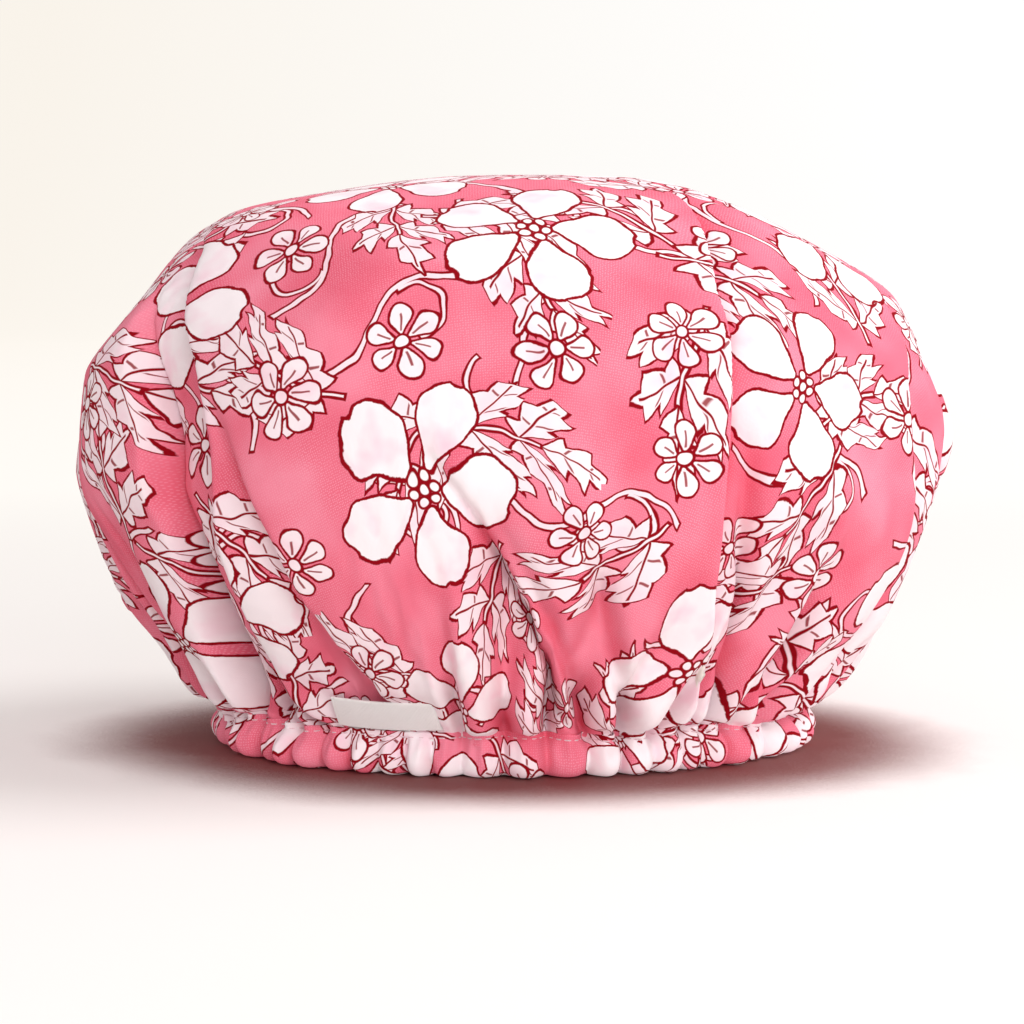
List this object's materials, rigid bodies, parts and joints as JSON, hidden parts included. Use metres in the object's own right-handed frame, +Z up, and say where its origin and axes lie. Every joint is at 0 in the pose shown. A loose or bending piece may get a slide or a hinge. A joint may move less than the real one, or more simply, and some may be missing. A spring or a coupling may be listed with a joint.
{
  "type": "shower cap",
  "caption": "Puffed cotton shower cap with a waterproof lining, gathered by an elastic band in a hem casing, with a folded tape label sewn into the seam.",
  "frame": {"origin": "centre of the cap's outline, on the surface its hem stands on", "axes": "+Z up through the crown, -Y towards the side that carries the label, +X along the cap's longer width, to the right seen from the label's side"},
  "size_m": [0.2697, 0.2402, 0.1738],
  "materials": {
    "printed_cotton": "crisp printed cotton, matte, white flowers outlined in dark red on pink",
    "waterproof_lining": "soft off-white waterproof laminate with a faint satin gloss",
    "casing_cotton": "crisp printed cotton, matte, same print as the shell",
    "elastic": "white braided elastic, matte",
    "bar_tack_thread": "white polyester thread",
    "sewing_thread": "pale pink polyester thread, slight sheen",
    "label_tape": "white woven satin tape, blank"
  },
  "bodies": {
    "cap": {"outer_shell": "printed_cotton", "lining": "waterproof_lining", "hem_casing": "casing_cotton", "elastic_band": "elastic", "elastic_join_stitch": "bar_tack_thread", "needle_thread": "sewing_thread", "bobbin_thread": "sewing_thread"},
    "label": {"label": "label_tape"}
  },
  "joints": [
    {"name": "label_flap", "type": "hinge", "parent": "cap", "child": "label", "pos_m": [-0.03518, -0.07274, 0.0139], "axis": [0.938, -0.3466, 0], "range_deg": [0, 90]}
  ]
}
